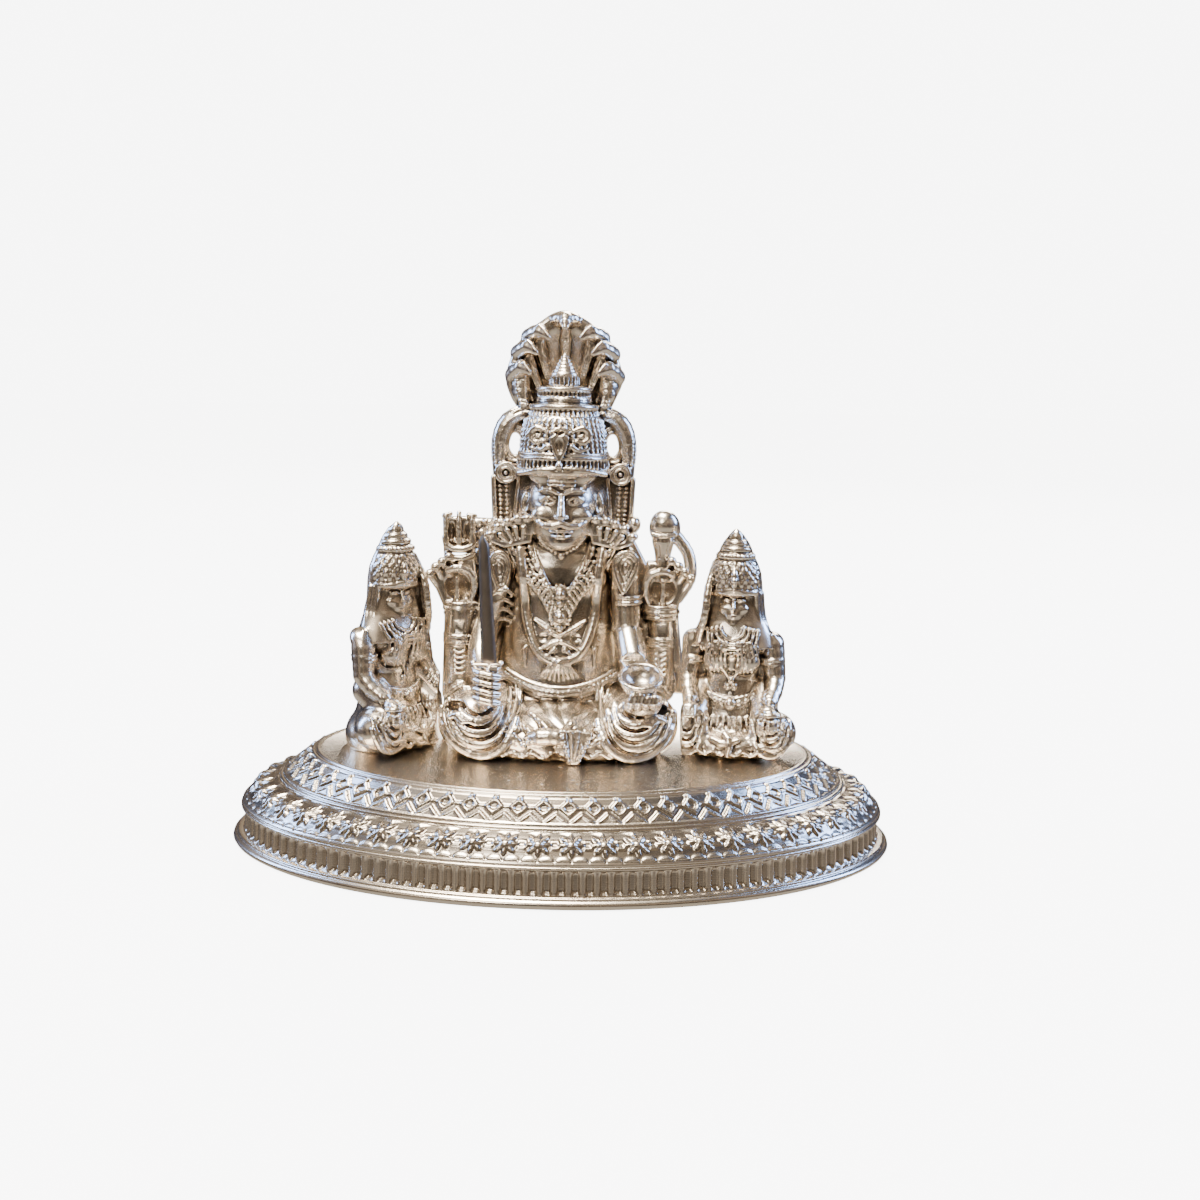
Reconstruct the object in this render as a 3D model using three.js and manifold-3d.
// A small cast silver shrine group: a four-armed deity under a seven-headed serpent hood, seated between two
// attendants on an oval tiered plinth. Millimetres, +Z up, the viewer looks along +Y.
// The origin is the centre of the plinth's underside.
import * as THREE from 'three';
import { mergeVertices } from 'three/addons/utils/BufferGeometryUtils.js';
import Module from 'manifold-3d';

const wasm = await Module();
wasm.setup();

// Driving sizes
const PLINTH_HALF_LENGTH = 38;
const PLINTH_DEPTH_RATIO = 0.615;
const PLATE_Z = 10.4;
const FLUTE_COUNT = 130;
const FLOWER_COUNT = 54;
const LOZENGE_COUNT = 60;
const DEITY_X = -0.5;
const DEITY_HEIGHT = 49.85;
const HEAD_CENTRE_HEIGHT = 27.75;
const GUARD_TOP_HEIGHT = 11.25;
const BLADE_LENGTH = 14.2;
const BLADE_WIDTH = [1.75, 1.15];
const BLADE_THICKNESS = 0.5;
const BLADE_LEAN_DEG = 2.7;
const ATTENDANT_HEIGHT = 26.1;
const LEFT_ATTENDANT = { x: -19.5, y: 0.3, turn: 56, headTurn: -20, potSide: -1, innerX: -14.7 };
const RIGHT_ATTENDANT = { x: 19.3, y: -0.3, turn: -8, headTurn: 0, potSide: 1, innerX: 13.6 };
const WELD = 1e-4;

// Half-length and height of each line of the plinth, from the underside up
const LOWER_TIER = [[37.0, 0], [PLINTH_HALF_LENGTH, 0.55], [37.4, 1.3], [35, 1.3], [35, 4.0], [37.2, 4.0]];
const FLUTES = { bottom: 1.2, top: 4.2, groove: 36.1, rib: 36.9 };
const FLOWER_BAND = { low: [36.7, 4.8], high: [32.6, 7.2] };
const LOZENGE_BAND = { low: [31.6, 7.8], high: [28.9, 10.0] };
const MIDDLE_LINE = [[32.0, 7.8]];
const TOP_LINE = [[28.5, 10.5], [27.9, PLATE_Z]];

const degrees = THREE.MathUtils.degToRad;

// Solids from three.js geometry

// A closed geometry as a solid. Triangles that collapse at a lathe's axis are left out, and a geometry whose faces
// point inwards is turned round.
function solid(geometry) {
  const bare = geometry.clone();
  bare.deleteAttribute('normal');
  bare.deleteAttribute('uv');
  const welded = mergeVertices(bare, WELD);
  const at = welded.attributes.position;
  const triangles = [];
  let volume = 0;
  for (let i = 0; i < welded.index.count; i += 3) {
    const triangle = [0, 1, 2].map((k) => welded.index.getX(i + k));
    if (new Set(triangle).size < 3) continue;
    const [a, b, c] = triangle.map((vertex) => new THREE.Vector3().fromBufferAttribute(at, vertex));
    volume += a.dot(b.cross(c));
    triangles.push(triangle);
  }
  const outward = volume < 0 ? triangles.map(([a, b, c]) => [a, c, b]) : triangles;
  return new wasm.Manifold(new wasm.Mesh({
    numProp: 3,
    vertProperties: new Float32Array(at.array),
    triVerts: new Uint32Array(outward.flat()),
  }));
}

function joined(pieces) {
  return pieces.flat(Infinity).reduce((whole, piece) => whole.add(piece));
}

function placed(geometry, at, turn = [0, 0, 0]) {
  const matrix = new THREE.Matrix4().makeRotationFromEuler(new THREE.Euler(...turn.map(degrees)));
  geometry.applyMatrix4(matrix.setPosition(...at));
  return solid(geometry);
}

// An ellipsoid with its poles up
function ball(at, radii, { turn, around = 6, rings = 4 } = {}) {
  const geometry = new THREE.SphereGeometry(1, around, rings).rotateX(Math.PI / 2).scale(...radii);
  return placed(geometry, at, turn);
}

function box(at, size, turn) {
  return placed(new THREE.BoxGeometry(...size), at, turn);
}

// A disc that faces the viewer
function disc(at, radius, thickness, around = 8) {
  return placed(new THREE.CylinderGeometry(radius, radius, thickness, around), at);
}

// A limb or a tube: rings of the given radii at the points, square to the line through them
function tube(points, radii, around = 5) {
  const path = new THREE.CatmullRomCurve3(points.map((p) => new THREE.Vector3(...p)));
  const last = points.length - 1;
  const rows = [0, ...radii, 0];
  const geometry = new THREE.LatheGeometry(rows.map((r) => new THREE.Vector2(r, 0)), around);
  const at = geometry.attributes.position;
  const turn = new THREE.Quaternion();
  const vertex = new THREE.Vector3();
  let heading = new THREE.Vector3(0, 1, 0);
  for (let row = 0; row < rows.length; row += 1) {
    const n = THREE.MathUtils.clamp(row - 1, 0, last);
    const next = path.getTangent(n / last);
    turn.premultiply(new THREE.Quaternion().setFromUnitVectors(heading, next));
    heading = next;
    for (let i = row; i < at.count; i += rows.length) {
      vertex.fromBufferAttribute(at, i).applyQuaternion(turn).add(path.getPoint(n / last));
      at.setXYZ(i, vertex.x, vertex.y, vertex.z);
    }
  }
  return solid(geometry);
}

// A band across a limb, such as a bracelet
function bangle(from, to, share, radius, width = 0.6, around = 7) {
  const start = new THREE.Vector3(...from);
  const along = new THREE.Vector3(...to).sub(start);
  const middle = start.clone().addScaledVector(along, share);
  const half = along.setLength(width / 2);
  const ends = [middle.clone().sub(half), middle.clone().add(half)].map((p) => p.toArray());
  return tube(ends, [radius, radius], around);
}

// A turned form about a vertical axis, from a profile of [radius, height] that runs upwards
function turned(profile, at, { around = 14, squash = 1, turn } = {}) {
  const closed = [[0, profile[0][1]], ...profile, [0, profile.at(-1)[1]]];
  const points = closed.map(([r, z]) => new THREE.Vector2(r, z));
  const geometry = new THREE.LatheGeometry(points, around).rotateX(Math.PI / 2).scale(1, squash, 1);
  return placed(geometry, at, turn);
}

// A flat plate in the XZ plane, cut to an outline of [x, z], centred on the place it is put
function plate(outline, at, thickness, turn) {
  const shape = new THREE.Shape(outline.map(([x, z]) => new THREE.Vector2(x, z)));
  const geometry = new THREE.ExtrudeGeometry(shape, { depth: thickness, bevelEnabled: false });
  return placed(geometry.translate(0, 0, -thickness / 2).rotateX(Math.PI / 2), at, turn);
}

// A figure cut flat at its foot
function flatFooted(whole) {
  return whole.subtract(box([0, 0, -15], [200, 200, 30]));
}

// Plinth

// Equally spaced places around an oval, with the outward direction at each
function aroundOval(halfLength, count) {
  const fine = 1440;
  const at = (i) => {
    const angle = (i / fine) * 2 * Math.PI;
    return new THREE.Vector2(Math.sin(angle), -PLINTH_DEPTH_RATIO * Math.cos(angle)).multiplyScalar(halfLength);
  };
  const travelled = [0];
  for (let i = 1; i <= fine; i += 1) travelled.push(travelled[i - 1] + at(i).distanceTo(at(i - 1)));
  const places = [];
  for (let n = 0, i = 0; n < count; n += 1) {
    while (travelled[i] < (n / count) * travelled[fine]) i += 1;
    const here = at(i);
    const out = new THREE.Vector2(here.x * PLINTH_DEPTH_RATIO ** 2, here.y).normalize();
    places.push({ x: here.x, y: here.y, out });
  }
  return places;
}

// A tier whose flat sides are as many as the ornaments it carries, each ornament in the middle of a side
function tier(profile, count) {
  const closed = [[0, profile[0][1]], ...profile, [0, profile.at(-1)[1]]];
  const geometry = new THREE.LatheGeometry(closed.map(([r, z]) => new THREE.Vector2(r, z)), count);
  const corners = aroundOval(1, 2 * count).filter((_, i) => i % 2);
  const at = geometry.attributes.position;
  const rows = closed.length;
  for (let i = 0; i < at.count; i += 1) {
    const row = i % rows;
    const corner = corners[Math.floor(i / rows) % count];
    at.setXYZ(i, corner.x * closed[row][0], corner.y * closed[row][0], closed[row][1]);
  }
  return solid(geometry);
}

// Pointed bosses around a sloping band, leaning with its slope
function bosses(band, count, radius, height, points, stretch) {
  const [low, high] = [band.low, band.high];
  return aroundOval((low[0] + high[0]) / 2, count).map(({ x, y, out }) => {
    const run = (low[0] - high[0]) * Math.hypot(out.x, PLINTH_DEPTH_RATIO * out.y);
    const slope = Math.atan2(run, high[1] - low[1]);
    const normal = new THREE.Vector3(out.x * Math.cos(slope), out.y * Math.cos(slope), Math.sin(slope));
    const along = new THREE.Vector3(-out.y, out.x, 0);
    const matrix = new THREE.Matrix4().makeBasis(along, normal.clone().cross(along), normal);
    const cone = new THREE.ConeGeometry(radius, height, points).rotateX(Math.PI / 2).scale(1, stretch, 1);
    cone.translate(0, 0, height / 2 - 0.3);
    return solid(cone.applyMatrix4(matrix.setPosition(x, y, (low[1] + high[1]) / 2)));
  });
}

function flutedDrum() {
  const outline = aroundOval(FLUTES.rib, FLUTE_COUNT * 2).map(({ x, y }, i) => {
    const reach = i % 2 ? FLUTES.groove / FLUTES.rib : 1;
    return new THREE.Vector2(x * reach, y * reach);
  });
  const depth = FLUTES.top - FLUTES.bottom;
  const geometry = new THREE.ExtrudeGeometry(new THREE.Shape(outline), { depth, bevelEnabled: false });
  return placed(geometry, [0, 0, FLUTES.bottom]);
}

function plinth() {
  const lower = tier([...LOWER_TIER, FLOWER_BAND.low, FLOWER_BAND.high, ...MIDDLE_LINE], FLOWER_COUNT);
  const upper = tier([[LOZENGE_BAND.low[0], 7], LOZENGE_BAND.low, LOZENGE_BAND.high, ...TOP_LINE], LOZENGE_COUNT);
  const flowers = bosses(FLOWER_BAND, FLOWER_COUNT, 1.6, 0.8, 6, 1);
  const lozenges = bosses(LOZENGE_BAND, LOZENGE_COUNT, 1.4, 0.7, 4, 1.1);
  return joined([lower, flutedDrum(), upper, flowers, lozenges]);
}

// Deity, in heights above the plate

function deityCrown() {
  const profile = [
    [5.2, 32.0], [5.45, 32.6], [5.0, 34.3], [4.3, 38.2], [4.0, 38.7], [3.9, 39.4], [3.1, 39.8],
    [3.2, 41.3], [1.75, 41.5], [1.6, 42.7], [0.2, 45.1],
  ];
  const dome = turned(profile, [DEITY_X, 2.4, 0], { around: 12, squash: 0.95 });
  const jewel = plate([[-1.1, 36.0], [0, 36.6], [1.1, 36.0], [0, 32.6]], [DEITY_X - 0.3, -2.45, 0], 1.2);
  return [dome, jewel];
}

function serpentHood() {
  const shell = plate([
    [-4.4, 37.9], [-6.1, 39.9], [-6.8, 42.2], [-6.3, 44.4], [-4.3, 47.6], [-1.5, 49.4], [0, DEITY_HEIGHT - 0.2],
    [1.6, 49.3], [4.8, 47.0], [6.4, 43.8], [6.5, 41.9], [5.9, 40.0], [4.4, 37.9],
  ], [DEITY_X, 4.9, 0], 2.2);
  const hollow = ball([DEITY_X, 2.2, 42.4], [5.2, 3.0, 6.2], { around: 8, rings: 5 });
  const rows = [[[4.1, 46.9], [2.9, 47.5], [1.8, 46.8]], [[5.3, 45.1], [4.2, 45.8], [3.2, 45.1]],
    [[5.9, 42.6], [4.9, 43.5], [3.9, 42.9]]];
  const heads = [-1, 1].map((side) => rows.map(([rim, brow, nose], n) => {
    const x = (offset) => DEITY_X + side * offset;
    const root = [x(2.0 + 0.9 * n), 4.4, 42.4 - 1.3 * n];
    return [
      tube([
        [x(rim[0]), 4.5, rim[1]], [x(brow[0]), 3.0, brow[1]], [x(nose[0]), 2.0, nose[1]],
      ], [1.1, 0.9, 0.35], 4),
      tube([[x((rim[0] + nose[0]) / 2), 4.3, nose[1] - 0.4], root], [0.8, 0.45], 3),
    ];
  }));
  const top = ball([DEITY_X, 3.8, DEITY_HEIGHT - 1.1], [1.75, 1.8, 1.05], { around: 8, rings: 5 });
  const neck = tube([[DEITY_X, 4.3, 48.2], [DEITY_X, 4.6, 44.6]], [0.8, 0.5], 4);
  return [shell.subtract(hollow), heads, top, neck];
}

// The serpent's coils, which frame the head as an upright board with a loop on each side of the crown
function serpentFrame() {
  const board = plate([[-7.7, 23], [-8.1, 32.6], [8.1, 32.6], [7.7, 23]], [DEITY_X, 4.3, 0], 1.7);
  const loops = [-1, 1].map((side) => {
    const x = (offset) => DEITY_X + side * offset;
    const coil = tube([
      [x(7.2), 4.2, 31.6], [x(7.35), 4.1, 34.2], [x(6.7), 4.0, 36.9], [x(5.3), 4.1, 38.1], [x(3.9), 4.4, 38.5],
    ], [0.95, 1.05, 1.15, 1.05, 0.9], 6);
    const outline = [[4.0, 31], [4.0, 38.6], [5.6, 38.2], [7.2, 36.6], [7.8, 34], [7.4, 31]];
    const web = plate(outline.map(([a, z]) => [x(a), z]), [0, 4.2, 0], 1.0);
    const hole = placed(new THREE.CylinderGeometry(1, 1, 6, 10).scale(0.74, 1, 1.27), [x(5.6), 4.2, 34.85]);
    return [joined([coil, web]).subtract(hole), disc([x(6.55), 3.0, 31.6], 1.25, 1.5)];
  });
  return [board, loops];
}

function deityHead() {
  const x = DEITY_X;
  const z = HEAD_CENTRE_HEIGHT;
  const face = ball([x, 1.7, z + 0.6], [4.0, 3.8, 4.6], { around: 8, rings: 6 });
  const jaw = ball([x, 0.8, z - 1.8], [3.3, 3.0, 3.1], { around: 9, rings: 6 });
  const nose = tube([[x, -2.0, z + 1.5], [x, -2.6, z - 0.7]], [0.45, 0.8], 4);
  const pairs = [-1, 1].map((side) => [
    tube([[x + 0.2 * side, -2.3, z - 1.5], [x + 2.7 * side, -1.5, z - 1.3]], [0.6, 0.35], 3),
    tube([[x + 0.6 * side, -1.9, z + 2.2], [x + 2.9 * side, -1.0, z + 2.2]], [0.45, 0.3], 3),
    ball([x + 4.1 * side, 1.4, z + 0.3], [0.7, 0.9, 1.8], { around: 4 }),
  ]);
  return [face, jaw, nose, pairs];
}

function deityTorso() {
  const x = DEITY_X;
  const body = turned([[7.6, 3.8], [7.4, 9.5], [6.6, 14.5], [6.6, 21.1], [5.3, 23.6], [2.6, 25.0]], [x, 4.2, 0],
    { around: 12, squash: 0.68 });
  const belt = tube([
    [x - 7.2, 3.6, 9.0], [x - 5.6, 0.9, 8.0], [x, -1.0, 6.6], [x + 5.6, 0.9, 8.0], [x + 7.2, 3.6, 9.0],
  ], [0.95, 0.95, 0.95, 0.95, 0.95], 5);
  const garland = [-1, 1].map((side) => tube([
    [x + 4.7 * side, -0.1, 22.6], [x + 4.1 * side, -0.4, 16.6], [x + 2.7 * side, -0.6, 11.9], [x, -0.7, 10.3],
  ], [0.65, 0.65, 0.65, 0.65], 3));
  const strings = [-1, 1].map((side) => [
    tube([[x + 5.4 * side, 0.4, 24.0], [x + 3.4 * side, -0.5, 20.0], [x + 0.9 * side, -0.5, 15.8]],
      [0.7, 0.7, 0.7], 3),
    tube([[x + 3.4 * side, 0.6, 24.4], [x + 0.8 * side, -0.6, 18.6]], [0.8, 0.6], 3),
  ]);
  const pendants = [[18.2, 0.95], [15.7, 1.2]].map(([z, r]) => disc([x, -0.9, z], r, 1.4, 7));
  const vest = plate([
    [0, 15.0], [2.9, 15.2], [1.4, 13.2], [2.3, 11.6], [0, 9.0], [-2.3, 11.6], [-1.4, 13.2], [-2.9, 15.2],
  ], [x, -0.2, 0], 1);
  const back = plate([
    [-12.6, 5.8], [-13.2, 10], [-12.6, 15.8], [-11, 25.6], [-6, 25.8], [7.5, 24.6], [9.8, 20.4], [12.8, 18.8],
    [13.7, 5.8],
  ], [x, 4.4, 0], 2.2);
  const bridge = tube([[-12.9, 3.1, 0], [-13.0, 3.1, 3.6], [-12.9, 3.1, 7.2]], [1.4, 1.4, 1.2], 6);
  return [body, belt, garland, strings, pendants, vest, back, bridge];
}

// Lobed collars that stand on the shoulders behind the jaw
function collars() {
  return [-1, 1].map((side) => {
    const outline = [
      [3.3, 23.9], [3.3, 26.5], [4.2, 27.1], [5.3, 27.1], [5.8, 26.6], [6.8, 26.4], [7.6, 26.0], [8.6, 24.9],
      [8.2, 23.8], [6.4, 23.1],
    ].map(([x, z]) => [DEITY_X + side * x, z]);
    return plate(outline, [0, 0.9, 0], 2.4);
  });
}

function crossedLegs() {
  const x = DEITY_X;
  const seat = turned([[9.6, -0.5], [10.6, 1.4], [9.8, 4.2], [7, 6.4]], [x, 3.6, 0], { around: 10, squash: 0.78 });
  const lap = ball([x, -1.2, 2.2], [8.6, 5.3, 3.6], { around: 10, rings: 6 });
  const legs = [-1, 1].map((side) => {
    const knee = [x + 9.3 * side, -2.4, 3.6];
    const middle = x + 8.9 * side;
    const folds = [[4.4, 5.4, 0.7], [3.0, 3.2, 0.6]].map(([wide, deep, radius]) => {
      const path = [-1, -0.7, 0, 0.7, 1].map((share) => [
        middle + wide * share, -6.7 + 2.1 * share ** 2, 6.4 - deep * Math.sqrt(1.02 - share ** 2),
      ]);
      return tube(path, [0.5 * radius, radius, radius, radius, 0.5 * radius], 3);
    });
    return [
      tube([[x + 4 * side, 3.6, 4.4], knee], [3.0, 3.2], 6),
      ball(knee, [4.35, 4.3, 4.1], { around: 9, rings: 6 }),
      folds,
    ];
  });
  const foot = tube([[x - 3.3, -6.3, 2.5], [x - 0.9, -7.0, 3.2], [x + 1.6, -6.7, 2.7]], [0.7, 1.1, 0.6], 5);
  const sash = plate([[-0.2, 4.1], [3.4, 3.8], [2.0, 0], [0.6, 0]], [x + 0.6, -6.8, 0], 1.3);
  return [seat, lap, legs, foot, sash];
}

// A raised back arm: upper arm, upright forearm with two bangles, and a hand with the fingers spread outwards
function raisedArm(side, centre, half, shoulder) {
  const x = (offset) => centre + side * offset;
  const outline = [[-1.9, 16.2], [-2.0, 19.8], [-1.7, 21.8], [1.2, 21.9], [2.6, 21.0], [3.4, 19.8], [1.9, 16.3]];
  const hand = plate(outline.map(([a, z]) => [x(a), z]), [0, 1.9, 0], 2.0);
  const hollow = ball([x(0.2), 0.7, 18.6], [1.5, 1.0, 1.6]);
  const fingers = [[1.1, 22.0], [2.0, 21.4], [2.9, 20.7]].map(([a, z]) => tube(
    [[x(a - 0.8), 1.4, z - 1.5], [x(a), 0.8, z]], [0.5, 0.65], 3));
  const thumb = tube([[x(1.2), 0.7, 20.5], [x(-0.4), 0.4, 20.9], [x(-1.7), 0.6, 19.6], [x(-1.4), 0.9, 17.4]],
    [0.5, 0.5, 0.5, 0.45], 3);
  return [
    tube([shoulder, [x(0.4), 2.6, 7.5]], [1.9, 1.6], 4),
    tube([[x(0.4), 1.9, 6.6], [centre, 1.8, 15.6]], [half, half], 7),
    turned([[half + 0.2, 12.0], [half + 0.2, 13.0]], [centre, 1.8, 0], { around: 8 }),
    turned([[1.9, 15.2], [2.1, 16.0], [1.8, 16.8]], [centre, 1.8, 0], { around: 7, squash: 0.86 }),
    hand.subtract(hollow), fingers, thumb,
  ];
}

function trident() {
  const head = plate([
    [-13.6, 20.9], [-14.1, 26.5], [-13.5, 26.8], [-13.0, 25.3], [-12.5, 26.9], [-11.9, 26.9], [-11.4, 25.3],
    [-11.0, 26.8], [-10.4, 26.6], [-10.8, 20.9],
  ], [0, 1.5, 0], 1.4);
  const bridge = plate([[-11.8, 20.8], [-10.8, 26.3], [-7.6, 26.2], [-6.2, 25.6], [-6.2, 20.8]], [0, 3.3, 0], 1.8);
  return [head, bridge];
}

function hoodedDrum() {
  const x = 11.1;
  const hood = ball([x + 0.1, 1.5, 26.1], [1.7, 1.4, 1.7], { around: 7, rings: 5 });
  const drum = turned([[0.95, 19.5], [0.85, 21.8], [1.4, 24.4], [1.2, 25.4]], [x, 1.4, 0], { around: 7 });
  const tail = tube([[x + 1.2, 2.8, 25.0], [x + 2.8, 2.8, 23.0], [x + 3.3, 2.8, 20.8], [x + 1.9, 2.8, 17.4]],
    [0.75, 0.75, 0.75, 0.7], 5);
  return [hood, drum, tail];
}

function armlet(at, wide, tall) {
  const outline = [[0, 1], [0.8, 0.7], [1, 0.2], [0.5, -0.5], [0.1, -1], [-0.5, -0.5], [-1, 0.2], [-0.8, 0.7]];
  return plate(outline.map(([x, z]) => [wide * x, tall * z]), at, 1.4);
}

function swordHand() {
  const [shoulder, elbow, hand] = [[-7.5, 2.0, 21.6], [-9.2, 1.6, 14.4], [-8.3, -5.2, 8.6]];
  const fingers = [0, 1, 2, 3].map((n) => tube(
    [[-9.5, -6.8, 10.4 - 0.98 * n], [-6.7, -7.0, 9.6 - 0.98 * n]], [0.5, 0.5], 3));
  const guard = box([-8.3, -6.1, GUARD_TOP_HEIGHT - 0.25], [3.3, 1.3, 0.5]);
  return [
    tube([shoulder, elbow, [-9.4, -1.4, 10.8], hand], [1.7, 1.5, 1.5, 1.3], 5),
    armlet([-7.5, 0.3, 20.4], 1.3, 2.4),
    ball([-8.1, -5.9, 8.6], [1.5, 1.3, 1.8]),
    box([-8.2, -6.1, GUARD_TOP_HEIGHT - 0.9], [1.4, 1, 1.4]),
    fingers, guard,
  ];
}

function bowlHand() {
  const [shoulder, elbow, wrist] = [[6.7, 1.6, 22.0], [7.2, 0.4, 13.8], [8.6, -5.0, 8.0]];
  const profile = [[0.9, -1.6], [1.9, -1.0], [2.45, 0.45], [2.0, 0.45], [1.4, -0.7]];
  const bowl = turned(profile, [8.7, -6.0, 9.6], { around: 9, turn: [24, 0, 0] });
  const fingers = [0, 1, 2].map((n) => tube(
    [[7.7 + 1.15 * n, -7.2, 6.4], [7.9 + 1.1 * n, -7.8, 8.3]], [0.6, 0.55], 3));
  return [
    tube([shoulder, elbow, [7.9, -2.4, 11.0], wrist], [1.6, 1.55, 1.6, 1.3], 5),
    bangle(shoulder, elbow, 0.55, 1.75, 1.1, 6), bangle(shoulder, elbow, 0.98, 1.8, 0.9, 6),
    armlet([6.9, -0.4, 20.9], 1.5, 2.3),
    ball([9.0, -5.9, 6.8], [2.1, 1.6, 1.6]),
    bowl, fingers,
  ];
}

function centralDeity() {
  return flatFooted(joined([
    crossedLegs(), deityTorso(), collars(), deityHead(), deityCrown(), serpentFrame(), serpentHood(),
    raisedArm(-1, -12.1, 1.95, [-6.5, 3.8, 19]), trident(), raisedArm(1, 11.1, 1.55, [6, 3.8, 19]), hoodedDrum(),
    swordHand(), bowlHand(),
  ]));
}

// Attendants

// A seated attendant looking along -Y, with the seat centred on the origin and its underside at z = 0
function attendant(potSide, headTurn) {
  const sides = [-1, 1];
  const lap = turned([[4.8, -0.5], [5.3, 1.4], [4.6, 4.0], [3.4, 6.6]], [0, 1.0, 0], { around: 8, squash: 0.85 });
  const body = turned([[3.6, 4.6], [2.9, 8.8], [4.0, 13.0], [1.4, 15.0], [1.2, 16.2]], [0, 0.5, 0],
    { around: 7, squash: 0.7 });
  const legs = sides.map((side) => [
    tube([[1.6 * side, 1.2, 3.4], [4.6 * side, -1.6, 3.3], [5.2 * side, -3.8, 2.6]], [2.2, 2.6, 1.3], 5),
    tube([[4.6 * side, -2.8, 2.0], [0.2 * side, -3.7, 1.8]], [1.5, 1.3], 4),
  ]);
  const belt = turned([[4.0, 5.8], [4.0, 6.9]], [0, 0.9, 0], { around: 8, squash: 0.74 });
  const bust = sides.map((side) => ball([1.8 * side, -1.2, 11.1], [1.4, 1.4, 1.4], { around: 5 }));
  const head = ball([0, -0.3, 17.3], [1.95, 2.0, 2.7], { around: 7, rings: 5 });
  const dome = turned([[2.5, 18.6], [2.8, 19.4], [2.5, 21.3], [1.7, 22.7]], [0, -0.2, 0], { around: 8, squash: 0.86 });
  const discs = turned([[1.5, 22.3], [2.05, 23.0], [1.3, 23.5], [1.6, 23.9], [1.0, 24.7]], [0, -0.8, 0], { around: 6 });
  const tip = turned([[0.8, 24.4], [0.6, 25.2], [0.25, ATTENDANT_HEIGHT]], [0, -1.2, 0], { around: 5 });
  const veil = turned([[4.9, 12.6], [3.5, 15.6], [3.0, 18.4], [2.4, 20.8], [0.9, 22.4]], [0, 0.7, 0],
    { around: 8, squash: 0.6 });
  const fold = tube([
    [-1.3 * potSide, -0.5, 23.2], [-2.9 * potSide, -1.4, 19.8], [-3.1 * potSide, -1.6, 16.6], [-3.8 * potSide, -0.9, 13.2],
  ], [0.4, 0.8, 0.85, 0.6], 4);
  const necklace = tube([[-2.3, -1.0, 14.4], [0, -2.3, 11.9], [2.3, -1.0, 14.4]], [0.5, 0.5, 0.5], 3);
  const arms = sides.map((side) => tube(
    [[4.5 * side, 0.6, 12.9], [5.0 * side, 0.1, 9.0], [4.6 * side, -2.7, 6.8], [4.3 * side, -4.3, 6.0]],
    [1.35, 1.2, 0.95, 0.75], 4));
  const webs = sides.map((side) => [
    tube([[3.6 * side, 0.6, 7.0], [3.9 * side, -2.4, 4.9]], [1.9, 1.5], 4),
    tube([[3.9 * side, 0.8, 8.2], [3.4 * side, 0.9, 12.0]], [0.9, 0.8], 3),
  ]);
  const pot = turned([[0.7, 3.6], [1.3, 4.6], [1.25, 5.8], [0.5, 6.4]], [4.5 * potSide, -4.3, 0], { around: 6 });
  const upper = joined([head, dome, discs, tip, veil, fold]).rotate([0, 0, headTurn]);
  return joined([lap, body, legs, belt, bust, upper, necklace, arms, webs, pot]);
}

// An attendant in place, its inner side trimmed flat where the deity's knee comes against it
function seatedAttendant({ x, y, turn, headTurn, potSide, innerX }) {
  const inner = box([innerX - 10 * Math.sign(innerX), 0, 10], [20, 60, 60]);
  return flatFooted(attendant(potSide, headTurn).rotate([0, 0, turn]).translate([x, y, 0])).subtract(inner);
}

// Sword blade, flat cut at its foot, standing on the guard
function swordBlade() {
  const [foot, tip] = BLADE_WIDTH;
  const lean = Math.tan(degrees(BLADE_LEAN_DEG));
  const outline = [
    [-foot / 2, 0], [foot / 2, 0], [tip / 2, BLADE_LENGTH - 1.1], [-tip * 0.1, BLADE_LENGTH],
    [-tip / 2, BLADE_LENGTH - 0.9],
  ].map(([x, z]) => [x - lean * z - 8.1, z + GUARD_TOP_HEIGHT]);
  return plate(outline, [0, -6.1, 0], BLADE_THICKNESS);
}

const group = new THREE.Group();

// The outer skin of a solid: a shell that only closes in an air pocket between joined forms is left out
function outerSkin(vertices, triangles) {
  const parent = Array.from({ length: vertices.length / 3 }, (_, i) => i);
  const root = (i) => {
    let top = i;
    while (parent[top] !== top) top = parent[top];
    parent[i] = top;
    return top;
  };
  for (let i = 0; i < triangles.length; i += 3) {
    parent[root(triangles[i + 1])] = root(triangles[i]);
    parent[root(triangles[i + 2])] = root(triangles[i]);
  }
  const volume = new Map();
  for (let i = 0; i < triangles.length; i += 3) {
    const [a, b, c] = [0, 1, 2].map((k) => new THREE.Vector3().fromArray(vertices, 3 * triangles[i + k]));
    const shell = root(triangles[i]);
    volume.set(shell, (volume.get(shell) ?? 0) + a.dot(b.cross(c)));
  }
  return triangles.filter((_, i) => volume.get(root(triangles[i - (i % 3)])) > 0);
}

function show(name, whole, material, z = PLATE_Z) {
  const { vertProperties, triVerts } = whole.getMesh();
  const geometry = new THREE.BufferGeometry();
  geometry.setAttribute('position', new THREE.BufferAttribute(vertProperties, 3));
  geometry.setIndex(new THREE.BufferAttribute(outerSkin(vertProperties, triVerts), 1));
  const mesh = new THREE.Mesh(geometry, material);
  mesh.name = name;
  mesh.position.z = z;
  group.add(mesh);
}

const silver = () => new THREE.MeshStandardMaterial({ color: 0xd9cfc0, roughness: 0.25, metalness: 1 });
const bladeSteel = () => new THREE.MeshStandardMaterial({ color: 0x77726c, roughness: 0.45, metalness: 1 });

show('plinth', plinth(), silver(), 0);
show('central_deity', centralDeity(), silver());
show('left_attendant', seatedAttendant(LEFT_ATTENDANT), silver());
show('right_attendant', seatedAttendant(RIGHT_ATTENDANT), silver());
show('sword_blade', swordBlade(), bladeSteel());

export default group;
